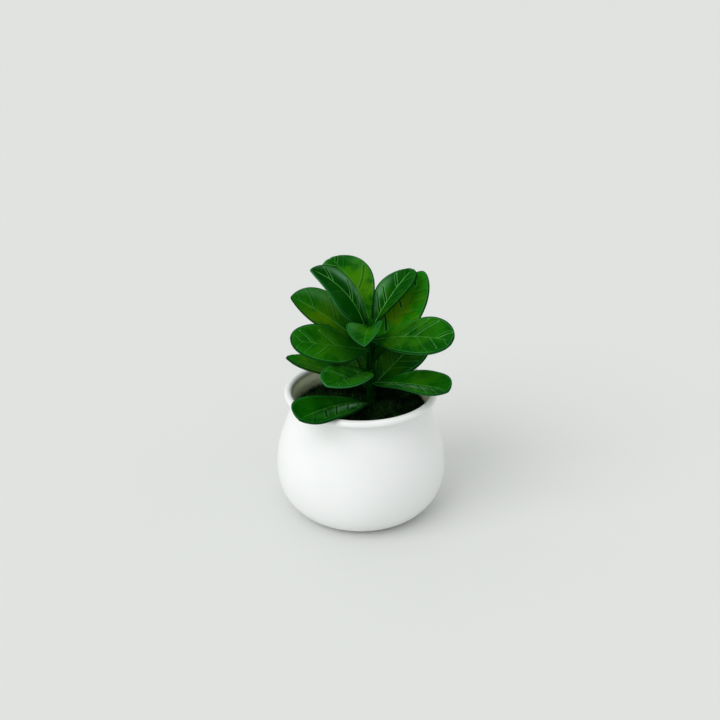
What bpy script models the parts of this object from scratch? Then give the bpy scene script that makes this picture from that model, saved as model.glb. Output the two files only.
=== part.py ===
"""Potted succulent: a round-bellied white pot, its plug and moss mat, a stem and its leaves.

Lengths are in millimetres and angles in degrees until a mesh is made, which is in metres.
The pot stands on the plane z = 0, its axis is the Z axis and its front is towards -Y.
"""
from math import cos, pi, radians, sin, sqrt
from typing import NamedTuple

import bmesh
import bpy
from mathutils import Vector

MILLIMETRE = 0.001

# Pot: a turned shell with a flat foot, a low belly, a drawn-in neck and a rolled lip.
POT_SIDES = 44
POT_WALL = 2.4
POT_FLOOR = 3.0
FOOT_RADIUS = 25.5
SIDE = (  # radius and height of the outside, from the foot to the start of the lip
    (FOOT_RADIUS, 0.0),
    (31.2, 1.6),
    (35.2, 5.2),
    (38.6, 11.2),
    (40.2, 20.0),
    (39.2, 31.0),
    (36.3, 41.5),
    (33.2, 49.5),
    (32.3, 53.8),
    (33.6, 57.0),
)
INSIDE_HEIGHTS = (11.2, 20.0, 31.0, 41.5, 49.5)
LIP_RADIUS = 34.4
LIP_HEIGHT = 58.7
LIP_ROUND = 1.3

# Plug and mat: what the pot holds, each with a hole round the stem.
CLEARANCE = 0.45
PLUG_TOP = 46.0
MAT_TOP = 50.0
MAT_CROWN = 1.4
MAT_RINGS = 5
MAT_LUMP = 0.5
HOLE_DEPTH = 18.0

# Stem: stands a little to the right of the pot's axis and tapers to a rounded top.
STEM_X = 4.6
STEM_RADIUS = 2.3
STEM_TIP_RADIUS = 1.7
STEM_TOP = 94.0
STEM_SIDES = 12
STEM_RINGS = 9

# Leaves: spoon-shaped, cupped along the midrib and lens-shaped in section.
LEAF_START = STEM_RADIUS + 0.6
LEAF_THICKNESS = 1.1
LEAF_STATIONS = 11
LEAF_SECTION = 14
LEAF_STALK = 0.14
FOLD_SOFTNESS = 0.25


class Leaf(NamedTuple):
    """One leaf: where it leaves the stem, how it runs and what shape its blade has."""

    name: str
    heading: float  # anticlockwise from +X, seen from above
    height: float  # of its foot on the stem
    rise: float  # angle above the horizontal at the foot
    tip_rise: float  # the same at the tip
    length: float
    width: float
    roll: float = 0.0  # turn about its own midrib
    cup: float = 12.0  # lift of each half about the midrib
    swing: float = 0.0  # change of heading from foot to tip
    widest: float = 0.6  # where along the length it is widest
    roundness: float = 2.1  # how late the blade narrows to its tip
    sharpness: float = 0.5  # of the tip: 0.5 is rounded, 1 is a straight-sided point


LEAVES = (
    Leaf(
        "leaf_top_back", 106.5, 92.4, 41, 14, 42, 23.2,
        roll=13, cup=6, swing=28, widest=0.68, roundness=2.5,
    ),
    Leaf(
        "leaf_top_left", 182, 89, 76, 25, 39.5, 19.6,
        roll=31, cup=5, swing=17, widest=0.5, roundness=2.2, sharpness=0.8,
    ),
    Leaf(
        "leaf_top_right", 56, 90.5, 40, 29, 34, 19.4,
        roll=4, cup=15, swing=-13, widest=0.62, roundness=2.3, sharpness=0.65,
    ),
    Leaf(
        "leaf_top_front", -101, 91, 13, -21, 19.5, 19.5,
        roll=-8, cup=36, swing=6, widest=0.55, roundness=2.2, sharpness=0.62,
    ),
    Leaf(
        "leaf_upper_right", 42, 80, 34, 50, 43, 20.6,
        roll=-22, cup=5, swing=5, widest=0.45, roundness=1.9, sharpness=0.6,
    ),
    Leaf(
        "leaf_upper_left", 155, 79.4, 37, 25, 41.5, 22.8,
        roll=27, cup=27, swing=20, widest=0.6, roundness=2.4, sharpness=0.7,
    ),
    Leaf("leaf_upper_back", 104, 84, 20, 8, 34, 18.5),
    Leaf("leaf_middle_right", -32, 84.4, 21, 1, 39, 22.5, roll=-31, cup=8, widest=0.65, roundness=2.0),
    Leaf("leaf_middle_left", 213, 79.6, 18, 18, 39.5, 21, roll=38, cup=6, swing=-5, widest=0.55),
    Leaf("leaf_middle_back", 77, 71, 28, 14, 36, 21),
    Leaf("leaf_lower_right", 47, 60.5, 26, 16, 38.5, 20.5, roll=-26, cup=12, widest=0.58, roundness=2.2),
    Leaf("leaf_lower_left", 183, 63.5, 16, 22, 38, 20, cup=11, widest=0.55, roundness=2.4, sharpness=0.75),
    Leaf("leaf_lower_front", -112, 69.5, 17, 9, 41.5, 19.7, roll=11, cup=16, swing=-8),
    Leaf("leaf_lower_back", 139, 60.3, 22, 6, 37, 20, roll=14, swing=2),
    Leaf(
        "leaf_base_right", -31, 62.8, 15, 1, 37.8, 20.5,
        roll=-9, cup=17, swing=-2, widest=0.7, roundness=3.0,
    ),
    Leaf(
        "leaf_base_left", -127, 52.5, 25.5, -3, 46, 21.5,
        roll=10, cup=11, swing=-8, widest=0.78, roundness=3.2,
    ),
    Leaf("leaf_base_back", 86, 55.5, 45, 8, 35, 20),
)


def clear_scene():
    for item in list(bpy.data.objects):
        bpy.data.objects.remove(item, do_unlink=True)


def finish(name, colour, roughness, coat=0.0):
    """A plain material under the object's own name."""
    material = bpy.data.materials.new(name + "_finish")
    material.use_nodes = True
    shader = material.node_tree.nodes["Principled BSDF"]
    shader.inputs["Base Color"].default_value = (*colour, 1.0)
    shader.inputs["Roughness"].default_value = roughness
    shader.inputs["Coat Weight"].default_value = coat
    return material


def loft(name, rings, material, ring_shaped=False):
    """One closed body through rings of equal count: capped at both ends, or joined end to end."""
    body = bmesh.new()
    rows = [[body.verts.new(Vector(point) * MILLIMETRE) for point in ring] for ring in rings]
    pairs = list(zip(rows, rows[1:]))
    if ring_shaped:
        pairs.append((rows[-1], rows[0]))
    for low, high in pairs:
        count = len(low)
        for index in range(count):
            after = (index + 1) % count
            body.faces.new((low[index], low[after], high[after], high[index]))
    if not ring_shaped:
        body.faces.new(rows[0])
        body.faces.new(rows[-1])
    bmesh.ops.recalc_face_normals(body, faces=body.faces)
    for face in body.faces:
        face.smooth = True
    mesh = bpy.data.meshes.new(name)
    body.to_mesh(mesh)
    body.free()
    mesh.set_sharp_from_angle(angle=radians(50))
    mesh.materials.append(material)
    thing = bpy.data.objects.new(name, mesh)
    bpy.context.scene.collection.objects.link(thing)
    return thing


def circle(radius, height, sides, x=0.0):
    angles = [2 * pi * step / sides for step in range(sides)]
    return [(x + radius * cos(angle), radius * sin(angle), height) for angle in angles]


def smooth_path(points, steps):
    """A curve through the points, with its slope at each taken from the two beside it."""
    path = []
    for index in range(len(points) - 1):
        start = Vector(points[index])
        end = Vector(points[index + 1])
        slope_in = (end - Vector(points[max(index - 1, 0)])) / 2
        slope_out = (Vector(points[min(index + 2, len(points) - 1)]) - start) / 2
        for step in range(steps):
            t = step / steps
            path.append(
                start * (2 * t**3 - 3 * t**2 + 1)
                + slope_in * (t**3 - 2 * t**2 + t)
                + end * (3 * t**2 - 2 * t**3)
                + slope_out * (t**3 - t**2)
            )
    path.append(Vector(points[-1]))
    return path


def inner_radius(height):
    """Radius of the pot's inner wall at a height, one wall inside the outer face."""
    path = smooth_path(SIDE, 4)
    for low, high in zip(path, path[1:]):
        if low.y <= height <= high.y:
            share = (height - low.y) / (high.y - low.y)
            return low.x + (high.x - low.x) * share - POT_WALL
    raise ValueError("height is outside the pot's side")


def inside(gap, heights):
    """Outline of the pot's hollow from its floor upwards, drawn in by a gap."""
    outline = [(FOOT_RADIUS - gap, POT_FLOOR + gap)]
    outline.append((inner_radius(6.0) - 2.0 - gap, POT_FLOOR + 1.4 + gap))
    for height in heights:
        outline.append((inner_radius(height) - gap, height))
    return outline


def make_pot():
    outline = [tuple(point) for point in smooth_path(SIDE, 2)]
    for angle in (-20, 25, 70, 110, 155, 200):
        turn = radians(angle)
        outline.append((LIP_RADIUS + LIP_ROUND * cos(turn), LIP_HEIGHT + LIP_ROUND * sin(turn)))
    outline += reversed(inside(0.0, INSIDE_HEIGHTS + (53.8, 56.4)))
    rings = [circle(radius, height, POT_SIDES) for radius, height in outline]
    loft("pot", rings, finish("pot", (0.86, 0.86, 0.84), 0.28, coat=0.4))


def between(outer, inner, share):
    return [tuple(Vector(far).lerp(Vector(near), share)) for far, near in zip(outer, inner)]


def make_plug():
    """The plug fills the pot below the mat and has a blind hole for the stem."""
    outline = inside(CLEARANCE, INSIDE_HEIGHTS[:-1] + (PLUG_TOP,))
    rings = [circle(radius, height, POT_SIDES) for radius, height in outline]
    hole = STEM_RADIUS + CLEARANCE
    rings.append(circle(hole, PLUG_TOP, POT_SIDES, STEM_X))
    rings.append(circle(hole, PLUG_TOP - HOLE_DEPTH, POT_SIDES, STEM_X))
    loft("plug", rings, finish("plug", (0.10, 0.075, 0.05), 0.95))


def make_mat():
    """The mat is a lumpy dome over the plug, with a hole that the stem passes through."""
    low = PLUG_TOP + CLEARANCE
    edge = circle(inner_radius(MAT_TOP) - CLEARANCE, MAT_TOP - 0.8, POT_SIDES)
    hole_radius = STEM_RADIUS + CLEARANCE
    rings = [circle(inner_radius(low) - CLEARANCE - 0.1, low, POT_SIDES), edge]
    collar = circle(hole_radius, MAT_TOP, POT_SIDES, STEM_X)
    for ring in range(1, MAT_RINGS + 1):
        share = ring / (MAT_RINGS + 1)
        row = []
        for index, (x, y, z) in enumerate(between(edge, collar, share)):
            lump = MAT_LUMP * sin(2.7 * index + 1.9 * ring) * cos(1.3 * index - 0.8 * ring)
            row.append((x, y, MAT_TOP + MAT_CROWN * sin(pi * share) * 0.5 + lump))
        rings.append(row)
    rings.append(collar)
    rings.append(circle(hole_radius, low, POT_SIDES, STEM_X))
    loft("moss_mat", rings, finish("moss_mat", (0.02, 0.06, 0.015), 0.9), ring_shaped=True)


def make_stem():
    bottom = PLUG_TOP - HOLE_DEPTH + CLEARANCE
    rings = []
    for step in range(STEM_RINGS):
        share = step / (STEM_RINGS - 1)
        radius = STEM_RADIUS + (STEM_TIP_RADIUS - STEM_RADIUS) * share**2
        rings.append(circle(radius, bottom + (STEM_TOP - 1.2 - bottom) * share, STEM_SIDES, STEM_X))
    rings.append(circle(STEM_TIP_RADIUS * 0.75, STEM_TOP - 0.4, STEM_SIDES, STEM_X))
    rings.append(circle(STEM_TIP_RADIUS * 0.3, STEM_TOP, STEM_SIDES, STEM_X))
    loft("stem", rings, finish("stem", (0.05, 0.16, 0.03), 0.6))


def blade_width(leaf, share):
    """Half the blade's width at a share of its length."""
    if share < leaf.widest:
        swell = sin(0.5 * pi * share / leaf.widest) ** 1.5
        return 0.5 * leaf.width * (LEAF_STALK + (1 - LEAF_STALK) * swell)
    beyond = (share - leaf.widest) / (1 - leaf.widest)
    return 0.5 * leaf.width * max(0.0, 1 - beyond**leaf.roundness) ** leaf.sharpness


def make_leaf(leaf):
    heading = radians(leaf.heading)
    outward = Vector((cos(heading), sin(heading), 0))
    point = Vector((STEM_X, 0, leaf.height)) + outward * LEAF_START
    cup = radians(leaf.cup)
    fold_span = sqrt(1 + FOLD_SOFTNESS**2) - FOLD_SOFTNESS
    rings = []
    last_share = 0.0
    last_tangent = None
    for station in range(LEAF_STATIONS + 1):
        share = 0.995 * sin(0.5 * pi * station / LEAF_STATIONS)
        rise = radians(leaf.rise + (leaf.tip_rise - leaf.rise) * share)
        turn = radians(leaf.heading + leaf.swing * share)
        tangent = Vector((cos(rise) * cos(turn), cos(rise) * sin(turn), sin(rise)))
        upward = Vector((-sin(rise) * cos(turn), -sin(rise) * sin(turn), cos(rise)))
        sideways = tangent.cross(upward)
        across = sideways * cos(radians(leaf.roll)) + upward * sin(radians(leaf.roll))
        normal = upward * cos(radians(leaf.roll)) - sideways * sin(radians(leaf.roll))
        if last_tangent:
            point = point + (tangent + last_tangent) * 0.5 * leaf.length * (share - last_share)
        half = blade_width(leaf, share)
        thickness = LEAF_THICKNESS * min(1.0, 0.35 + half / 6)
        ring = []
        for step in range(LEAF_SECTION):
            angle = 2 * pi * step / LEAF_SECTION
            v = cos(angle)
            fold = (sqrt(v * v + FOLD_SOFTNESS**2) - FOLD_SOFTNESS) / fold_span
            lift = half * sin(cup) * fold + 0.5 * thickness * sin(angle)
            ring.append(tuple(point + across * (half * cos(cup) * v) + normal * lift))
        rings.append(ring)
        last_share = share
        last_tangent = tangent
    loft(leaf.name, rings, finish(leaf.name, (0.02, 0.14, 0.02), 0.4, coat=0.3))


clear_scene()
make_pot()
make_plug()
make_mat()
make_stem()
for each_leaf in LEAVES:
    make_leaf(each_leaf)
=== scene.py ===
from math import cos, exp, hypot, pi, radians, sin, sqrt
from random import Random
from typing import NamedTuple

import bmesh
import bpy
from mathutils import Matrix, Vector, noise


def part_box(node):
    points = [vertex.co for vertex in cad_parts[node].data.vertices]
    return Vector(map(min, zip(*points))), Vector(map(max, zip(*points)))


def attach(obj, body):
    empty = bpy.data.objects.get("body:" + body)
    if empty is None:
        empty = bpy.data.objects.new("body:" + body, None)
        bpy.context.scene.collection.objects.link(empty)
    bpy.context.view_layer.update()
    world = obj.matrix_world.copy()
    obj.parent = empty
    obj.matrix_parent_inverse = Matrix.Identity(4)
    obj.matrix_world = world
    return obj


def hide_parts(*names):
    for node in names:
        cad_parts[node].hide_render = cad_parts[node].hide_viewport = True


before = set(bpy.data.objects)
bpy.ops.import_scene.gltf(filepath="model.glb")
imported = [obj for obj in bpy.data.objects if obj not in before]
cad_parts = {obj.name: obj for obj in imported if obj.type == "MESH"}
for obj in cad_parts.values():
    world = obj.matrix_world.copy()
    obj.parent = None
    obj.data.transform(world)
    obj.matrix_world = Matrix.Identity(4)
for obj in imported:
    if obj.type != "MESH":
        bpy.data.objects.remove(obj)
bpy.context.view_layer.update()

# ---------------------------------------------------------------- pot
# A slip-cast white pot: flat foot, low belly, drawn-in neck and a rolled lip. It is glazed inside
# and out and wiped bare on the foot. Its outline is one smooth curve, turned about the Z axis.

MM = 0.001  # lengths are in millimetres until they go into a mesh

pot_side = (  # radius and height of the outside, from the foot to the lip
    (25.5, 0.0),
    (31.2, 1.6),
    (35.2, 5.2),
    (38.6, 11.2),
    (40.2, 20.0),
    (39.2, 31.0),
    (36.0, 41.5),
    (33.0, 49.5),
    (32.4, 53.8),
    (32.9, 57.0),
)
pot_wall = 2.4
pot_floor = 3.0
neck_height = 49.5
neck_thinning = 1.5  # taken off the inside between the neck and the lip
lip_radius = 33.95  # from the pot's axis to the middle of the roll
lip_height = 58.2
lip_round = 1.75
lip_start = -35  # where on the roll the lip leaves the side, in degrees
lip_sweep = 235
lip_steps = 12
foot_rings = (0.0, 12.0, 20.0, 24.6)
inner_heights = (56.4, 55.2, 53.8, 52.0, 49.5, 45.5, 41.5, 36.0, 31.0, 25.5, 20.0, 15.5, 11.2, 8.5)
floor_rings = (25.5, 14.0, 0.0)
inner_face_slack = 0.3
pot_turn_steps = 176


def smooth_curve(points, steps):
    """Points along a curve through the given ones; each slope comes from its two neighbours."""
    curve = []
    for index in range(len(points) - 1):
        start = Vector(points[index])
        end = Vector(points[index + 1])
        slope_in = (end - Vector(points[max(index - 1, 0)])) / 2
        slope_out = (Vector(points[min(index + 2, len(points) - 1)]) - start) / 2
        for step in range(steps):
            t = step / steps
            curve.append(
                start * (2 * t**3 - 3 * t**2 + 1)
                + slope_in * (t**3 - 2 * t**2 + t)
                + end * (3 * t**2 - 2 * t**3)
                + slope_out * (t**3 - t**2)
            )
    curve.append(Vector(points[-1]))
    return curve


def wall_radius(height):
    """Radius of the pot's inner wall at a height; the wall thins from the neck to the lip."""
    curve = smooth_curve(pot_side, 8)
    above_neck = max(0.0, height - neck_height) / (curve[-1].y - neck_height)
    for low, high in zip(curve, curve[1:]):
        if low.y <= height <= high.y:
            outside = low.x + (high.x - low.x) * (height - low.y) / (high.y - low.y)
            return outside - pot_wall + neck_thinning * above_neck**2
    return lip_radius - lip_round


def turned(outline, steps):
    """A body of revolution about the Z axis from (radius, height) pairs in millimetres."""
    shape = bmesh.new()
    corners = [shape.verts.new((radius * MM, 0, height * MM)) for radius, height in outline]
    edges = [shape.edges.new(pair) for pair in zip(corners, corners[1:])]
    bmesh.ops.spin(
        shape,
        geom=corners + edges,
        axis=(0, 0, 1),
        cent=(0, 0, 0),
        angle=2 * pi,
        steps=steps,
        use_merge=True,
    )
    bmesh.ops.remove_doubles(shape, verts=shape.verts, dist=0.01 * MM)
    bmesh.ops.recalc_face_normals(shape, faces=shape.faces)
    return shape


outline = [(radius, 0.0) for radius in foot_rings]
outline += [tuple(point) for point in smooth_curve(pot_side, 5)]
for step in range(lip_steps + 1):
    turn = radians(lip_start + lip_sweep * step / lip_steps)
    outline.append((lip_radius + lip_round * cos(turn), lip_height + lip_round * sin(turn)))
for height in inner_heights:
    outline.append((wall_radius(height), height))
outline += [(wall_radius(6.0) - 1.6, 5.0), (28.5, 3.5)]  # the rounded corner between wall and floor
outline += [(radius, pot_floor) for radius in floor_rings]
pot = turned(outline, pot_turn_steps)
inside_layer = pot.verts.layers.float.new("inside")
for corner in pot.verts:
    height = corner.co.z / MM
    inner_face = (wall_radius(height) + inner_face_slack) * MM
    at_wall = pot_floor - 0.5 < height < lip_height - inner_face_slack
    if at_wall and hypot(corner.co.x, corner.co.y) < inner_face:
        corner[inside_layer] = 1.0


def start_material(name):
    material = bpy.data.materials.new(name)
    material.use_nodes = True
    return material, material.node_tree, material.node_tree.nodes["Principled BSDF"]


def add_node(tree, kind, inputs=(), **settings):
    """Adds a shader node, sets its own settings and then the inputs given by name or place."""
    node = tree.nodes.new("ShaderNode" + kind)
    for key, value in settings.items():
        setattr(node, key, value)
    for key, value in dict(inputs).items():
        if hasattr(value, "is_output"):
            tree.links.new(value, node.inputs[key])
        else:
            node.inputs[key].default_value = value
    return node


def blend(tree, share, low, high):
    """Mixes two colours, each a colour or a socket, by a share from 0 to 1."""
    mix = add_node(tree, "Mix", data_type="RGBA")
    for place, value in ((0, share), (6, low), (7, high)):
        if hasattr(value, "is_output"):
            tree.links.new(value, mix.inputs[place])
        elif place:
            mix.inputs[place].default_value = (*value, 1.0)
        else:
            mix.inputs[place].default_value = value
    return mix.outputs[2]


def ramp(tree, value, low, high, to_low=0.0, to_high=1.0):
    """Eases a value from to_low at low to to_high at high."""
    settings = {"Value": value, 1: low, 2: high, 3: to_low, 4: to_high}
    return add_node(tree, "MapRange", settings, interpolation_type="SMOOTHSTEP").outputs[0]


def calc(tree, kind, first, second=0.0):
    return add_node(tree, "Math", {0: first, 1: second}, operation=kind, use_clamp=False).outputs[0]


def speckle(tree, place, scale, detail):
    """A cloudy value that changes over the surface; the larger the scale, the finer it is."""
    return add_node(tree, "TexNoise", {"Vector": place, "Scale": scale, "Detail": detail}).outputs[0]


# The shared effect: two colours mottled into each other by a cloudy value, which is put out too.
mottling = bpy.data.node_groups.new("mottling", "ShaderNodeTree")
for socket, kind in (
    ("Vector", "Vector"),
    ("Scale", "Float"),
    ("Detail", "Float"),
    ("Begins", "Float"),
    ("Ends", "Float"),
    ("Low Colour", "Color"),
    ("High Colour", "Color"),
):
    mottling.interface.new_socket(socket, in_out="INPUT", socket_type="NodeSocket" + kind)
mottling.interface.new_socket("Colour", in_out="OUTPUT", socket_type="NodeSocketColor")
mottling.interface.new_socket("Cloud", in_out="OUTPUT", socket_type="NodeSocketFloat")
given = mottling.nodes.new("NodeGroupInput").outputs
put_out = mottling.nodes.new("NodeGroupOutput").inputs
cloud = speckle(mottling, given["Vector"], given["Scale"], given["Detail"])
share = ramp(mottling, cloud, given["Begins"], given["Ends"])
mixed = blend(mottling, share, given["Low Colour"], given["High Colour"])
mottling.links.new(mixed, put_out["Colour"])
mottling.links.new(cloud, put_out["Cloud"])


def mottled(tree, place, scale, detail, begins, ends, low, high):
    """Places the mottling in a material; gives its colour and its cloudy value."""
    inputs = {"Vector": place, "Scale": scale, "Detail": detail, "Begins": begins, "Ends": ends}
    inputs.update({"Low Colour": (*low, 1.0), "High Colour": (*high, 1.0)})
    node = add_node(tree, "Group", inputs, node_tree=mottling)
    return node.outputs["Colour"], node.outputs["Cloud"]


def finished_piece(shape, name, material, slot, *nodes):
    """Makes the shape a smooth-shaded piece on the one body, standing for the CAD nodes named."""
    if shape.calc_volume(signed=True) < 0:
        bmesh.ops.reverse_faces(shape, faces=shape.faces)
    mesh = bpy.data.meshes.new(name)
    shape.to_mesh(mesh)
    shape.free()
    mesh.shade_smooth()
    mesh.materials.append(material)
    piece = bpy.data.objects.new(name, mesh)
    bpy.context.scene.collection.objects.link(piece)
    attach(piece, "root")
    if nodes:
        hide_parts(*nodes)
    return piece


bright_white = (0.905, 0.915, 0.91)
soft_white = (0.88, 0.89, 0.885)
plant_bounce_green = (0.64, 0.70, 0.45)  # painted shade and painted green light that the plant casts on the inner wall
stray_fibre = (0.10, 0.13, 0.07)  # moss stuck to the inner wall
pale_biscuit = (0.74, 0.70, 0.64)
dark_biscuit = (0.62, 0.58, 0.52)

glaze, tree, shader = start_material("white_glaze")
place = add_node(tree, "TexCoord").outputs["Object"]
height = add_node(tree, "SeparateXYZ", {0: place}).outputs[2]
glazed = mottled(tree, place, 38.0, 3.0, 0.35, 0.7, bright_white, soft_white)[0]
ripple = speckle(tree, place, 60.0, 1.0)
bare_foot = ramp(tree, height, 0.0004, 0.0009, 1.0, 0.0)
inside = calc(tree, "MULTIPLY", add_node(tree, "Attribute", attribute_name="inside").outputs["Fac"], 0.9)
# the inner wall gets painted shade and painted green bounce light from the plant
glazed = blend(tree, inside, glazed, plant_bounce_green)
stray = ramp(tree, speckle(tree, place, 900.0, 4.0), 0.5, 0.66)
stray = calc(tree, "MULTIPLY", stray, ramp(tree, height, 0.050, 0.0565, 0.75, 0.15))
glazed = blend(tree, calc(tree, "MULTIPLY", stray, inside), glazed, stray_fibre)
biscuit, pin = mottled(tree, place, 1500.0, 2.0, 0.4, 0.6, pale_biscuit, dark_biscuit)
tree.links.new(blend(tree, bare_foot, glazed, biscuit), shader.inputs["Base Color"])
glaze_roughness = ramp(tree, ripple, 0.3, 0.7, 0.30, 0.36)
roughness = calc(tree, "MAXIMUM", glaze_roughness, calc(tree, "MULTIPLY", bare_foot, 0.85))
tree.links.new(roughness, shader.inputs["Roughness"])
relief = calc(tree, "ADD", ripple, calc(tree, "MULTIPLY", pin, calc(tree, "MULTIPLY", bare_foot, 0.5)))
bump = add_node(tree, "Bump", {"Strength": 0.15, "Distance": 0.0003, "Height": relief})
tree.links.new(bump.outputs[0], shader.inputs["Normal"])
shader.inputs["Coat Weight"].default_value = 0.3
shader.inputs["Coat Roughness"].default_value = 0.2
shader.inputs["IOR"].default_value = 1.5
finished_piece(pot, "pot_shell", glaze, "glaze", "pot")

# ---------------------------------------------------------------- plug
# A cast plug fills the pot below the mat and grips the stem. It is out of sight once the mat is
# in, so its CAD solid stays and only gets a rough, dark, grainy finish.

dark_grain = (0.035, 0.025, 0.016)
light_grain = (0.12, 0.09, 0.06)

filler, tree, shader = start_material("dark_filler")
place = add_node(tree, "TexCoord").outputs["Object"]
colour, grain = mottled(tree, place, 420.0, 6.0, 0.35, 0.65, dark_grain, light_grain)
tree.links.new(colour, shader.inputs["Base Color"])
shader.inputs["Roughness"].default_value = 0.95
bump = add_node(tree, "Bump", {"Strength": 0.8, "Distance": 0.0006, "Height": grain})
tree.links.new(bump.outputs[0], shader.inputs["Normal"])
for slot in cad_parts["plug"].material_slots:
    slot.material = filler

# ---------------------------------------------------------------- moss mat
# A round mat of short green bristles lies on the plug and hides it. The bed is a lumpy dome
# tucked against the wall; the bristles are set in small tufts that lean every way.

mat_top = 50.0
mat_low = 46.5
mat_crown = 0.7
mat_edge = 0.6  # how far below its top the dome ends at the wall
mat_lump = 0.5
lump_fineness = 260
mat_rings = 26
mat_turn_steps = 120
mat_radius = wall_radius(mat_top) - 0.5


def mat_height(reach):
    """Height of the mat's dome at a distance from the pot's axis."""
    return mat_top + mat_crown * cos(0.5 * pi * reach / mat_radius)


bed_outline = [(0.0, mat_top + mat_crown)]
for step in range(1, mat_rings):
    share = step / mat_rings
    bed_outline.append((mat_radius * share, mat_top + mat_crown * cos(0.5 * pi * share)))
bed_outline += [(mat_radius, mat_top - mat_edge), (mat_radius, mat_low), (0.0, mat_low)]
bed = turned(bed_outline, mat_turn_steps)
for corner in bed.verts:
    if corner.co.z > (mat_top - mat_edge - 0.1) * MM:
        corner.co.z += mat_lump * MM * noise.noise(corner.co * lump_fineness)

darkest_moss = (0.001, 0.004, 0.001)
dark_moss = (0.002, 0.009, 0.0015)
light_moss = (0.12, 0.42, 0.08)
moss_shadow = (0.002, 0.008, 0.002)

moss, tree, shader = start_material("moss_green")
place = add_node(tree, "TexCoord").outputs["Object"]
dark, patches = mottled(tree, place, 110.0, 3.0, 0.35, 0.7, darkest_moss, dark_moss)
fuzz = speckle(tree, place, 1600.0, 3.0)
tint = add_node(tree, "Attribute", attribute_name="tint").outputs["Fac"]
light_patch = ramp(tree, patches, 0.45, 0.62, 0.25, 1.0)
colour = blend(tree, calc(tree, "MULTIPLY", tint, light_patch), dark, light_moss)
colour = blend(tree, ramp(tree, fuzz, 0.45, 0.75, 0.0, 0.5), colour, moss_shadow)
tree.links.new(colour, shader.inputs["Base Color"])
shader.inputs["Roughness"].default_value = 0.9
shader.inputs["Specular IOR Level"].default_value = 0.04
bump = add_node(tree, "Bump", {"Strength": 0.9, "Distance": 0.0004, "Height": fuzz})
tree.links.new(bump.outputs[0], shader.inputs["Normal"])
finished_piece(bed, "moss_bed", moss, "moss", "moss_mat")

bristles_per_tuft = 30
bristle_root = 0.14
bristle_lengths = (1.1, 2.9)
bristle_leans = (4, 46)  # in degrees
bristle_depth = 0.3  # how deep its root sits in the bed
light_bristles = 0.05  # the share of bristles that catch the light
tuft_kinds = 10
tuft_spacing = 1.75
tuft_spread = 1.15

draw = Random(11)
tufts = []
for kind in range(tuft_kinds):
    tuft = bmesh.new()
    tint_layer = tuft.verts.layers.float.new("tint")
    for count in range(bristles_per_tuft):
        length = draw.uniform(*bristle_lengths)
        turn = Matrix.Rotation(draw.uniform(0, 2 * pi), 4, "Z")
        lean = turn @ Matrix.Rotation(radians(draw.uniform(*bristle_leans)), 4, "Y")
        angle = draw.uniform(0, 2 * pi)
        reach = tuft_spread * sqrt(draw.random())
        root = Matrix.Translation((reach * cos(angle), reach * sin(angle), -bristle_depth))
        lift = Matrix.Translation((0, 0, length / 2))
        made = bmesh.ops.create_cone(
            tuft,
            segments=3,
            radius1=bristle_root,
            radius2=0.0,
            depth=length,
            cap_ends=True,
            matrix=Matrix.Scale(MM, 4) @ root @ lean @ lift,
        )
        shade = 0.35 * draw.random() ** 2 + (0.65 if draw.random() < light_bristles else 0.0)
        for corner in made["verts"]:
            corner[tint_layer] = shade
    mesh = bpy.data.meshes.new("tuft")
    tuft.to_mesh(mesh)
    tuft.free()
    tufts.append(mesh)

fibres = bmesh.new()
rings = int(mat_radius / tuft_spacing)
for ring in range(rings + 1):
    radius = min(ring * tuft_spacing, mat_radius - 1.2)
    places = max(1, round(2 * pi * radius / tuft_spacing))
    for count in range(places):
        angle = 2 * pi * (count + draw.uniform(-0.3, 0.3)) / places + ring
        reach = max(0.0, radius + draw.uniform(-0.6, 0.0))
        spot = (reach * cos(angle) * MM, reach * sin(angle) * MM, mat_height(reach) * MM)
        first = len(fibres.verts)
        fibres.from_mesh(draw.choice(tufts))
        fibres.verts.ensure_lookup_table()
        move = Matrix.Translation(spot) @ Matrix.Rotation(draw.uniform(0, 2 * pi), 4, "Z")
        bmesh.ops.transform(fibres, matrix=move, verts=fibres.verts[first:])
limit = (mat_radius + 0.1) * MM  # no bristle goes into the pot's wall
for corner in fibres.verts:
    out = hypot(corner.co.x, corner.co.y)
    if out > limit:
        corner.co.x *= limit / out
        corner.co.y *= limit / out
finished_piece(fibres, "moss_bristles", moss, "moss")
for mesh in tufts:
    bpy.data.meshes.remove(mesh)

# ---------------------------------------------------------------- leaves
# Each leaf is one moulded blade: a spoon shape with a short point, creased along its midrib, with
# pressed side veins and a rounded rim. Its narrow foot is joined to the stem. Left and right are
# those of someone who looks along the leaf from its foot, with its face up.

stem_x = 4.6
stem_radius = 2.3
leaf_start = stem_radius + 0.6
leaf_foot = 1.6
leaf_stalk = 0.14
leaf_cells = (128, 60)
leaf_thickness = 0.9
leaf_trim = 0.985
fold_softness = 0.25
half_blend = 0.3  # how far either side of the midrib the two halves' values run together
rim_droop = 0.045  # how far the rim turns down, as a share of the half width
waves_along = 1.3
midrib_steps = 120
tip_close = 1.004  # where the rim closes round the tip, as a share of the length
foot_extra = 0.25  # how much thicker the narrow foot is
foot_narrow = 3  # where the half width is below this, the blade counts as foot
least_edge = 0.08  # half the thickness left at the very rim
rib_ends = 0.86  # where the midrib starts to fade, as a share of the length
vein_step = 0.155  # from one side vein to the next, as a share of the length
vein_pitch = 4.4
vein_bend = 0.3
vein_groove = 0.22
vein_lip = 0.10
ridge_aside = 0.68  # from the middle of a vein's groove to its moulded lip
pillow_height = 0.16
rim_bead = 0.10
rim_channel = 0.05
rib_height = 0.10
rib_channel = 0.12
keel_height = 0.3


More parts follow.
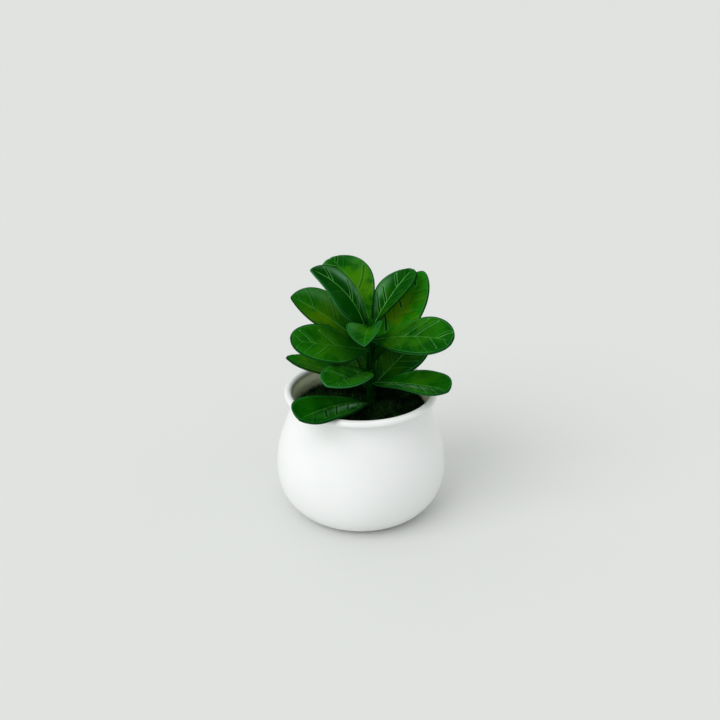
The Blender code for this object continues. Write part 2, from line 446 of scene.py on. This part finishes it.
class Leaf(NamedTuple):
    heading: float  # anticlockwise from +X, seen from above
    height: float  # of its foot on the stem
    rise: float  # angle above the horizontal at the foot
    tip_rise: float  # the same at the tip
    length: float
    width: float
    roll: float  # turn about its own midrib
    cup: float  # lift of each half about the midrib
    swing: float  # change of heading from foot to tip
    widest: float  # where along the length it is widest
    roundness: float  # how late it narrows to its tip
    sharpness: float  # of the tip: 0.5 is rounded, 1 is a straight-sided point
    left_foot: float = 1.5  # how slowly the left half widens from its foot
    right_foot: float = 1.5  # the same on the right half
    left_spread: float = 1.0  # how much wider than the right half the left one is


class Tone(NamedTuple):
    warmth: float  # how yellow its green is
    lightness: float  # how light its green is: partly its own tone, partly painted light
    groove: float  # how dark the painted shade in its side vein grooves is
    ridge: float  # how light the painted highlight on the moulded lips beside them is
    rib: float  # how light the painted highlight on its midrib is, or how dark its painted shade when below 0
    lit_rim_left: float = 0.0  # how strong the painted highlight on its rim is on the left half
    lit_rim_right: float = 0.0  # the same on the right half
    highlight_left: float = 0.0  # painted highlight on the left half
    highlight_right: float = 0.0  # the same on the right half
    highlight_along: float = 0.6  # where along the length the painted highlight is strongest
    highlight_across: float = 0.7  # where between midrib and rim it is strongest
    painted_shade_left: float = 0.28  # how far up the left half the painted shade at its foot reaches
    painted_shade_right: float = 0.28  # the same on the right half


painted_tones = Tone._fields[:5]  # those that the material reads as they are named
leaves = {
    "leaf_top_back": Leaf(106.5, 92.4, 41, 14, 42, 23.2, 13, 6, 28, 0.68, 2.5, 0.5),
    "leaf_top_left": Leaf(182, 89, 76, 25, 39.5, 19.6, 31, 5, 17, 0.5, 2.2, 0.8, 0.95, 1.5, 1.22),
    "leaf_top_right": Leaf(56, 90.5, 40, 29, 34, 19.4, 4, 15, -13, 0.62, 2.3, 0.65, 1.2),
    "leaf_top_front": Leaf(-101, 91, 13, -21, 19.5, 19.5, -8, 36, 6, 0.55, 2.2, 0.62),
    "leaf_upper_right": Leaf(42, 80, 34, 50, 43, 20.6, -22, 5, 5, 0.45, 1.9, 0.6),
    "leaf_upper_left": Leaf(155, 79.4, 37, 25, 41.5, 22.8, 27, 27, 20, 0.6, 2.4, 0.7),
    "leaf_upper_back": Leaf(104, 84, 20, 8, 34, 18.5, 0, 12, 0, 0.6, 2.1, 0.5),
    "leaf_middle_right": Leaf(-32, 84.4, 21, 1, 39, 22.5, -31, 8, 0, 0.65, 2, 0.5, 1.5, 0.8),
    "leaf_middle_left": Leaf(213, 79.6, 18, 18, 39.5, 21, 38, 6, -5, 0.55, 2.1, 0.5, 1.0),
    "leaf_middle_back": Leaf(77, 71, 28, 14, 36, 21, 0, 12, 0, 0.6, 2.1, 0.5),
    "leaf_lower_right": Leaf(47, 60.5, 26, 16, 38.5, 20.5, -26, 12, 0, 0.58, 2.2, 0.5, 1.2, 1.0),
    "leaf_lower_left": Leaf(183, 63.5, 16, 22, 38, 20, 0, 11, 0, 0.55, 2.4, 0.75),
    "leaf_lower_front": Leaf(-112, 69.5, 17, 9, 41.5, 19.7, 11, 16, -8, 0.6, 2.1, 0.5, 0.9, 0.9),
    "leaf_lower_back": Leaf(139, 60.3, 22, 6, 37, 20, 14, 12, 2, 0.6, 2.1, 0.5),
    "leaf_base_right": Leaf(-31, 62.8, 15, 1, 37.8, 20.5, -9, 17, -2, 0.7, 3.0, 0.5, 1.4, 0.75),
    "leaf_base_left": Leaf(-127, 52.5, 25.5, -3, 46, 21.5, 10, 11, -8, 0.78, 3.2, 0.5, 0.85, 1.5),
    "leaf_base_back": Leaf(86, 55.5, 45, 8, 35, 20, 0, 12, 0, 0.6, 2.1, 0.5),
}
tones = {
    "leaf_top_back": Tone(0.55, 0.62, 0.8, 0.5, 0.2, 0.0, 0.0, 0.3, 0.15, 0.95, 0.7, 0.1, 0.06),
    "leaf_top_left": Tone(0.0, 0.15, 1.0, 0.9, 0.9, 0.7, 0.0, 0.0, 1.0, 0.54),
    "leaf_top_right": Tone(0.12, 0.4, 1.0, 0.9, 1.0, 0.0, 0.0, 0.7, 0.0, 0.46),
    "leaf_top_front": Tone(0.2, 0.7, 0.3, 0.6, 0.2, 0.8, 0.8, 0.2, 0.2, 0.5),
    "leaf_upper_right": Tone(0.95, 1.5, 1.0, 0.5, 0.2, painted_shade_left=0.15, painted_shade_right=0.15),
    "leaf_upper_left": Tone(1.2, 0.95, 0.2, 0.5, 0.5, 0.0, 0.0, 0.0, 0.3, 0.8, 0.7, 0.5, 1.2),
    "leaf_upper_back": Tone(0.2, 0.3, 0.5, 0.5, 0.5, 0.2, 0.2, 0.2, 0.2),
    "leaf_middle_right": Tone(0.2, 0.5, 0.35, 0.9, 0.35, 0.0, 0.3, painted_shade_left=0.2, painted_shade_right=0.2),
    "leaf_middle_left": Tone(0.3, 0.75, 0.3, 0.95, 0.2, 0.2, 0.0, painted_shade_left=0.75, painted_shade_right=0.7),
    "leaf_middle_back": Tone(0.1, 0.15, 0.5, 0.4, 0.4, 0.0, 0.0, 0.2),
    "leaf_lower_right": Tone(0.15, 0.1, 0.4, 0.4, 0.5),
    "leaf_lower_left": Tone(1.0, 0.95, 0.4, 0.5, 0.3),
    "leaf_lower_front": Tone(0.15, 0.5, 0.8, 0.8, -0.9, 0.7, 0.9),
    "leaf_lower_back": Tone(0.3, 0.3, 0.5, 0.5, 0.5, 0.2, 0.2, 0.0, 0.2),
    "leaf_base_right": Tone(0.2, 0.6, 0.8, 0.6, 0.6, 0.4, 0.3, 0.0, 0.8, 0.5, 0.35),
    "leaf_base_left": Tone(0.05, 0.4, 0.8, 0.4, 0.5, 0.1, 0.9, 1.0, 0.0, 0.36, 0.38),
    "leaf_base_back": Tone(0.5, 0.5, 0.5, 0.5, 0.5, 0.2, 0.2, 0.2),
}
plain_veins = ((0.6, 0.4, 0.7, 0.6, 0.4), (0.5, 0.7, 0.4, 0.6, 0.5))
vein_depths = {  # of the side veins from foot to tip, on the left half and on the right half
    "leaf_top_back": ((0.0, 0.2, 0.2, 0.6, 0.9), (0.2, 0.6, 0.0, 0.2, 1.0)),
    "leaf_top_left": ((0.0, 0.0, 0.1, 0.1, 0.0), (0.8, 1.0, 0.0, 1.0, 0.2)),
    "leaf_top_right": ((0.8, 1.0, 0.0, 1.0, 0.3), (0.2, 0.2, 0.1, 0.3, 0.2)),
    "leaf_upper_right": ((1.0, 0.2, 1.0, 0.2, 1.0), (0.0, 0.3, 0.2, 0.3, 0.2)),
    "leaf_upper_left": ((0.1, 0.2, 0.1, 0.2, 0.1), (0.3, 0.9, 0.4, 1.0, 0.6)),
    "leaf_middle_right": ((0.1, 0.9, 1.0, 0.1, 1.0), (0.2, 0.1, 0.2, 0.5, 0.3)),
    "leaf_middle_left": ((0.1, 0.1, 0.4, 0.3, 0.4), (0.1, 1.0, 0.1, 1.0, 0.8)),
    "leaf_lower_front": ((0.1, 0.4, 0.1, 0.5, 0.5), (0.9, 0.3, 1.0, 0.1, 0.1)),
    "leaf_base_right": ((0.2, 0.1, 0.2, 0.1, 0.2), (1.0, 0.8, 1.0, 0.9, 0.8)),
    "leaf_base_left": ((0.8, 1.0, 1.0, 0.9, 0.4), (0.0, 0.2, 0.1, 0.2, 0.0)),
}


def eased(value, low, high):
    """0 below low, 1 above high and a smooth step between them; high may be the smaller one."""
    t = min(1.0, max(0.0, (value - low) / (high - low)))
    return t * t * (3 - 2 * t)


def half_width(leaf, share, v):
    """Half the blade's width at a share of its length, on the half that v lies on."""
    right = eased(v, -half_blend, half_blend)
    full = 0.5 * leaf.width * (leaf.left_spread + (1 - leaf.left_spread) * right)
    stalk = 0.5 * leaf.width * leaf_stalk
    if share <= 0:
        return stalk
    if share < leaf.widest:
        slowness = leaf.left_foot + (leaf.right_foot - leaf.left_foot) * right
        swell = sin(0.5 * pi * share / leaf.widest) ** slowness
        return stalk + (full - stalk) * swell
    beyond = (share - leaf.widest) / (1 - leaf.widest)
    narrowing = max(0.0, 1 - beyond**leaf.roundness) ** leaf.sharpness
    return (0.5 * leaf.width + (full - 0.5 * leaf.width) * (1 - beyond)) * narrowing


def hump(value, middle, spread):
    return exp(-(((value - middle) / spread) ** 2))


def drawn_veins(draw, depths):
    """Each half's side veins: the first one's place, their slant, and their gaps, reaches, depths."""
    halves = []
    for side in range(2):
        first = 0.18 + 0.06 * side + draw.uniform(-0.02, 0.02)
        slant = radians(draw.uniform(42, 54))
        gaps = [draw.uniform(0.5, 1.2) for depth in depths[side]]
        reaches = [draw.uniform(0.6, 0.85) for depth in depths[side]]
        halves.append((first, slant, gaps, reaches, depths[side], draw.uniform(0, 2 * pi)))
    return halves


def vein_place(veins, leaf, share, y, half):
    """A place on the flat blade as a count of veins, how far it is inside the ends of the nearest
    vein, and how deep that vein is."""
    first, slant, gaps, reaches, depths, phase = veins[y > 0]
    count = (share - abs(y) * cos(slant) / sin(slant) / leaf.length - first) / vein_step
    count += 0.1 * sin(9 * share + phase) - vein_bend * (y / max(half, 0.5)) ** 2
    vein = round(count)
    if 0 <= vein < len(depths):
        return count, min(abs(y) - gaps[vein], reaches[vein] * half - abs(y)), depths[vein]
    return count, -1.0, 0.0


def highlight_on(tone, share, v):
    """How much painted highlight lies at a place: a soft patch on one half."""
    amount = tone.highlight_right if v > 0 else tone.highlight_left
    patch = hump(share, tone.highlight_along, 0.27) * hump(abs(v), tone.highlight_across, 0.2)
    return amount * patch * eased(abs(v), 0.05, 0.2) * eased(abs(v), 0.96, 0.86)


def make_leaf(name, leaf, tone, finish):
    draw = Random(name)
    veins = drawn_veins(draw, vein_depths.get(name, plain_veins))
    wave = draw.uniform(0.25, 0.5)
    wave_phase = draw.uniform(0, 2 * pi)
    fold_span = sqrt(1 + fold_softness**2) - fold_softness

    # The midrib: its place, side and face at even steps, with a short straight run into the stem.
    spine = []
    outward = Vector((cos(radians(leaf.heading)), sin(radians(leaf.heading)), 0))
    spot = Vector((stem_x, 0, leaf.height)) + outward * leaf_start
    before = None
    for step in range(midrib_steps + 1):
        share = step / midrib_steps
        up_angle = radians(leaf.rise + (leaf.tip_rise - leaf.rise) * share)
        turn = radians(leaf.heading + leaf.swing * share)
        tangent = Vector((cos(up_angle) * cos(turn), cos(up_angle) * sin(turn), sin(up_angle)))
        upward = Vector((-sin(up_angle) * cos(turn), -sin(up_angle) * sin(turn), cos(up_angle)))
        side = tangent.cross(upward)
        if before:
            spot = spot + (tangent + before) * 0.5 * leaf.length / midrib_steps
        before = tangent
        across = side * cos(radians(leaf.roll)) + upward * sin(radians(leaf.roll))
        face = upward * cos(radians(leaf.roll)) - side * sin(radians(leaf.roll))
        spine.append((spot, across, face, tangent))

    blade = bmesh.new()
    bmesh.ops.create_grid(blade, x_segments=leaf_cells[0], y_segments=leaf_cells[1], size=1)
    places = ("vein_count", "past_vein", "from_midrib", "from_rim", "along", "painted_highlight", "lit_rim", "painted_shade")
    layers = {measure: blade.verts.layers.float.new(measure) for measure in (*places, *painted_tones)}
    top_layer = blade.verts.layers.float.new("top")
    lifted = bmesh.ops.extrude_face_region(blade, geom=blade.faces[:])["geom"]
    for part in lifted:
        if isinstance(part, bmesh.types.BMVert):
            part[top_layer] = 1.0

    lead = leaf_foot / leaf.length
    for corner in blade.verts:
        t = (corner.co.x + 1) / 2
        share = -lead + (1 + lead) * (t + 0.10 * sin(pi * t))
        share = min(share, 1.0)
        v = corner.co.y * (1.25 - 0.25 * corner.co.y**2)
        index = max(0.0, share) * midrib_steps
        low = min(int(index), midrib_steps - 1)
        part = index - low
        spot = spine[low][0].lerp(spine[low + 1][0], part)
        across = spine[low][1].lerp(spine[low + 1][1], part)
        face = spine[low][2].lerp(spine[low + 1][2], part)
        if share < 0:
            spot = spot + spine[0][3] * share * leaf.length
        half = leaf_trim * half_width(leaf, share, v)
        y = v * half
        fold = (sqrt(v * v + fold_softness**2) - fold_softness) / fold_span
        lift = half * sin(radians(leaf.cup)) * fold
        lift -= rim_droop * half * v**4
        lift += wave * v * v * sin(2 * pi * waves_along * share + wave_phase) * min(1.0, half / 5)
        edge = min((1 - abs(v)) * half, (tip_close - share) * leaf.length)
        thickening = 1 + foot_extra - foot_extra * half / foot_narrow
        thick = leaf_thickness * (1.0 if half > foot_narrow else thickening)
        radius = 0.5 * thick
        if edge < radius:
            radius = max(least_edge, sqrt(max(0.0, radius**2 - (radius - edge) ** 2)))
        midrib = abs(y) + 2.0 * max(0.0, share - rib_ends)
        count, inside, depth = vein_place(veins, leaf, share, y, half)
        if corner[top_layer] > 0.5:
            away = (count - round(count)) * vein_pitch
            pressed = eased(inside, -0.2, 0.5)
            pillow = pillow_height * min(1.0, abs(away) / 1.5)
            pillow = pillow * eased(abs(v), 0.05, 0.25) * eased(abs(v), 1.0, 0.8)
            press = pillow * eased(share, 0.05, 0.2)
            vein = vein_lip * hump(away, ridge_aside, 0.3) - vein_groove * hump(away, 0.0, 0.35)
            press += depth * pressed * vein
            press += rim_bead * hump(edge, 0.85, 0.3) - rim_channel * hump(edge, 1.5, 0.35)
            press += rib_height * hump(midrib, 0.0, 0.2) - rib_channel * hump(midrib, 0.55, 0.3)
            lift += radius + press * min(1.0, edge / 0.5)
        else:
            inside = -1.0
            lift -= radius + keel_height * hump(midrib, 0.0, 0.35) * min(1.0, edge / 0.5)
        corner[layers["vein_count"]] = count
        corner[layers["past_vein"]] = max(0.0, -inside)
        corner[layers["from_midrib"]] = midrib
        corner[layers["from_rim"]] = edge
        corner[layers["along"]] = share
        # a painted highlight on the top face
        corner[layers["painted_highlight"]] = corner[top_layer] * highlight_on(tone, share, v)
        right_hand = eased(v, -half_blend, half_blend)
        # painted highlight on the rim of this half
        corner[layers["lit_rim"]] = tone.lit_rim_left + (tone.lit_rim_right - tone.lit_rim_left) * right_hand
        reach = tone.painted_shade_left + (tone.painted_shade_right - tone.painted_shade_left) * right_hand
        # painted shade over the foot of the blade, and where a leaf above shades it
        corner[layers["painted_shade"]] = 0.85 * eased(share, reach, -0.02)
        for measure, value in zip(painted_tones, tone):
            corner[layers[measure]] = value * (depth if measure in ("groove", "ridge") else 1.0)
        corner.co = (spot + across * (half * cos(radians(leaf.cup)) * v) + face * lift) * MM
    finished_piece(blade, name + "_blade", finish, "leaf", name)


dark_blade = (0.0004, 0.048, 0.0004)
light_blade = (0.0119, 0.1935, 0.0013)
yellow_green = (0.080, 0.235, 0.001)
foot_shade_green = (0.0005, 0.025, 0.0005)
speck_green = (0.001, 0.06, 0.001)
highlight_green = (0.085, 0.250, 0.110)
dark_rim = (0.0004, 0.024, 0.002)
lit_rim_green = (0.038, 0.21, 0.055)
rim_highlight_green = (0.030, 0.220, 0.050)
groove_shade_green = (0.0, 0.012, 0.0)
ridge_highlight_green = (0.065, 0.28, 0.05)
rib_highlight_green = (0.075, 0.30, 0.05)

leaf_green, tree, shader = start_material("leaf_green")
place = add_node(tree, "TexCoord").outputs["Object"]


def leaf_measure(name):
    return add_node(tree, "Attribute", attribute_name=name).outputs["Fac"]


def line_at(distance, middle, core, edge):
    """1 on a line at some distance from an edge or rib, easing to 0 beside it."""
    aside = calc(tree, "ABSOLUTE", calc(tree, "SUBTRACT", distance, middle))
    return ramp(tree, aside, core, edge, 1.0, 0.0)


along = leaf_measure("along")
vein_turn = calc(tree, "FRACT", calc(tree, "ADD", leaf_measure("vein_count"), 0.5))
vein_aside = calc(tree, "MULTIPLY", calc(tree, "SUBTRACT", vein_turn, 0.5), vein_pitch)
past_end = leaf_measure("past_vein")
aside_squared = calc(tree, "MULTIPLY", vein_aside, vein_aside)
vein_away = calc(tree, "SQRT", calc(tree, "ADD", calc(tree, "POWER", past_end, 2.0), aside_squared))
groove = calc(tree, "MULTIPLY", leaf_measure("groove"), line_at(vein_away, 0.0, 0.22, 0.44))
ridge = calc(tree, "MULTIPLY", leaf_measure("ridge"), line_at(vein_away, ridge_aside, 0.16, 0.40))
foot_lip = calc(tree, "MULTIPLY", leaf_measure("groove"), 0.7)
ridge = calc(tree, "MULTIPLY", ridge, ramp(tree, vein_aside, -0.3, 0.3, foot_lip, 1.0))
rib = calc(tree, "MULTIPLY", leaf_measure("rib"), line_at(leaf_measure("from_midrib"), 0.0, 0.14, 0.36))
rib_highlight = calc(tree, "MAXIMUM", rib, 0.0)
rib_shade = calc(tree, "MAXIMUM", calc(tree, "MULTIPLY", rib, -1.0), 0.0)
from_rim = leaf_measure("from_rim")
rim_edge = ramp(tree, from_rim, 0.4, 0.8, 0.85, 0.0)
# a painted highlight along the rounded rim, about a millimetre in
rim_highlight_line = calc(tree, "MULTIPLY", line_at(from_rim, 1.05, 0.08, 0.3), ramp(tree, along, 0.2, 0.4))
# a painted highlight on the rims of the leaves whose edges catch the light
lit_rim = calc(tree, "MULTIPLY", leaf_measure("lit_rim"), ramp(tree, from_rim, 0.2, 0.45, 1.0, 0.0))
rim_green = blend(tree, lit_rim, dark_rim, lit_rim_green)
mottle = speckle(tree, place, 110.0, 4.0)
breakup_noise = speckle(tree, place, 330.0, 2.0)
speck = speckle(tree, place, 900.0, 3.0)
patchy = calc(tree, "ADD", leaf_measure("lightness"), ramp(tree, mottle, 0.3, 0.7, -0.25, 0.25))
green = blend(tree, ramp(tree, patchy, 0.0, 1.5), dark_blade, light_blade)
inner = calc(tree, "MULTIPLY", ramp(tree, along, 0.98, 0.45), ramp(tree, mottle, 0.36, 0.60))
painted_shade = leaf_measure("painted_shade")
yellowing = calc(tree, "MULTIPLY", inner, leaf_measure("warmth"))
yellowing = calc(tree, "MULTIPLY", yellowing, calc(tree, "SUBTRACT", 1.0, painted_shade))
green = blend(tree, yellowing, green, yellow_green)
# painted shade at the leaf's foot and where other leaves shade it
green = blend(tree, painted_shade, green, foot_shade_green)
green = blend(tree, calc(tree, "MULTIPLY", speck, 0.25), green, speck_green)
painted_highlight = calc(tree, "MULTIPLY", leaf_measure("painted_highlight"), ramp(tree, mottle, 0.3, 0.55, 0.4, 1.0))
# a painted highlight: a pale reflection patch on one half of some leaves
green = blend(tree, painted_highlight, green, highlight_green)
# painted highlight along the rim
green = blend(tree, calc(tree, "MULTIPLY", rim_highlight_line, 0.55), green, rim_highlight_green)
# painted shade in the side vein grooves
green = blend(tree, calc(tree, "MULTIPLY", groove, 0.9), green, groove_shade_green)
# painted shade along a dark midrib
green = blend(tree, calc(tree, "MULTIPLY", rib_shade, 0.9), green, groove_shade_green)
# the painted highlights on the vein lips and the midrib are broken up by a noise
highlight_breakup = ramp(tree, breakup_noise, 0.3, 0.55, 0.5, 1.0)
green = blend(tree, calc(tree, "MULTIPLY", ridge, highlight_breakup), green, ridge_highlight_green)
# painted highlight along a light midrib
green = blend(tree, calc(tree, "MULTIPLY", rib_highlight, highlight_breakup), green, rib_highlight_green)
green = blend(tree, rim_edge, green, rim_green)
tree.links.new(green, shader.inputs["Base Color"])
tree.links.new(ramp(tree, speck, 0.3, 0.7, 0.27, 0.37), shader.inputs["Roughness"])
relief = calc(tree, "SUBTRACT", calc(tree, "ADD", ridge, rib), groove)
relief = calc(tree, "ADD", calc(tree, "MULTIPLY", relief, 0.8), calc(tree, "MULTIPLY", speck, 0.25))
bump = add_node(tree, "Bump", {"Strength": 0.5, "Distance": 0.0002, "Height": relief})
tree.links.new(bump.outputs[0], shader.inputs["Normal"])
# the coat is heavier under the painted highlight
tree.links.new(calc(tree, "ADD", calc(tree, "MULTIPLY", painted_highlight, 0.35), 0.04), shader.inputs["Coat Weight"])
shader.inputs["Coat Roughness"].default_value = 0.28
shader.inputs["Specular IOR Level"].default_value = 0.0

for name, leaf in leaves.items():
    make_leaf(name, leaf, tones[name], leaf_green)

# ---------------------------------------------------------------- stem
# One upright stem stands in the plug and carries the leaves. It swells a little at each leaf
# foot and ends in a blunt bud.

stem_rings = 120
stem_turn_steps = 28
stem_taper = 0.45
foot_swell = 0.25
foot_swell_span = 1.1
bud_length = 1.4
bud_rings = ((1.25, 0.6), (0.7, 0.15), (0.0, 0.0))  # radius, and how far below the stem's top

stem_low, stem_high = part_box("stem")
bottom = stem_low.z / MM
top = stem_high.z / MM
stem_outline = [(0.0, bottom), (stem_radius, bottom)]
feet = [leaf.height for leaf in leaves.values()]
for step in range(1, stem_rings):
    height = bottom + (top - bud_length - bottom) * step / stem_rings
    swell = max(hump(height, foot, foot_swell_span) for foot in feet)
    taper = stem_radius - stem_taper * (step / stem_rings) ** 2
    stem_outline.append((taper - foot_swell + foot_swell * swell, height))
stem_outline += [(radius, top - below) for radius, below in bud_rings]
stem = turned(stem_outline, stem_turn_steps)
bmesh.ops.translate(stem, verts=stem.verts, vec=(stem_x * MM, 0, 0))

dark_stem = (0.0005, 0.010, 0.0005)
light_stem = (0.002, 0.032, 0.002)
bud_colour = (0.003, 0.060, 0.003)

stem_green, tree, shader = start_material("stem_green")
place = add_node(tree, "TexCoord").outputs["Object"]
drawn_out = add_node(tree, "Mapping", {"Vector": place, "Scale": (1.0, 1.0, 0.15)}).outputs[0]
colour, streaks = mottled(tree, drawn_out, 900.0, 3.0, 0.35, 0.65, dark_stem, light_stem)
near_bud = ramp(tree, add_node(tree, "SeparateXYZ", {0: place}).outputs[2], 0.088, 0.0915)
colour = blend(tree, near_bud, colour, bud_colour)
tree.links.new(colour, shader.inputs["Base Color"])
shader.inputs["Roughness"].default_value = 0.55
shader.inputs["Specular IOR Level"].default_value = 0.0
bump = add_node(tree, "Bump", {"Strength": 0.4, "Distance": 0.0002, "Height": streaks})
tree.links.new(bump.outputs[0], shader.inputs["Normal"])
finished_piece(stem, "stem_stalk", stem_green, "stem", "stem")

# ---------------------------------------------------------------- studio
# A plain pale floor, a pale surround that is brighter overhead, and one broad soft light from the
# left, in front and above.

floor_reach = 80  # in metres, so that it runs to the horizon
floor_grey = (0.72, 0.73, 0.72, 1.0)
sky_white = (0.98, 1.0, 0.985, 1.0)
sky_strengths = (0.40, 1.00)  # at the horizon and overhead
window_side = (-0.60, -0.50, 0.62)
eye_height_angle = 23.44  # how steeply the view looks down, in degrees

floor_shape = bmesh.new()
bmesh.ops.create_grid(floor_shape, x_segments=1, y_segments=1, size=floor_reach)
floor_mesh = bpy.data.meshes.new("floor")
floor_shape.to_mesh(floor_mesh)
floor_shape.free()
floor = bpy.data.objects.new("floor", floor_mesh)
bpy.context.scene.collection.objects.link(floor)
floor_paint, _, shader = start_material("floor_paint")
shader.inputs["Base Color"].default_value = floor_grey
shader.inputs["Roughness"].default_value = 0.8
floor_mesh.materials.append(floor_paint)

world = bpy.data.worlds.new("studio")
world.use_nodes = True
sky = world.node_tree
sky_height = add_node(sky, "SeparateXYZ", {0: add_node(sky, "TexCoord").outputs["Generated"]}).outputs[2]
low_glow, high_glow = sky_strengths
sky_glow = add_node(sky, "MapRange", {"Value": sky_height, 1: 0.0, 2: 1.0, 3: low_glow, 4: high_glow})
sky.links.new(sky_glow.outputs[0], sky.nodes["Background"].inputs["Strength"])
sky.nodes["Background"].inputs["Color"].default_value = sky_white
bpy.context.scene.world = world

window = bpy.data.lights.new("window", "SUN")
window.energy = 1.27
window.angle = radians(50)
window_holder = bpy.data.objects.new("window", window)
window_holder.rotation_euler = Vector(window_side).to_track_quat("Z", "Y").to_euler()
bpy.context.scene.collection.objects.link(window_holder)

camera = bpy.data.cameras.new("camera")
camera.sensor_width = 36.0
camera.lens = 42.5
camera.clip_start = 0.01
eye = bpy.data.objects.new("camera", camera)
eye.location = (-0.0004, -0.358, 0.229)
eye.rotation_euler = (radians(90 - eye_height_angle), 0, 0)
bpy.context.scene.collection.objects.link(eye)
bpy.context.scene.camera = eye
bpy.context.scene.view_settings.view_transform = "Standard"
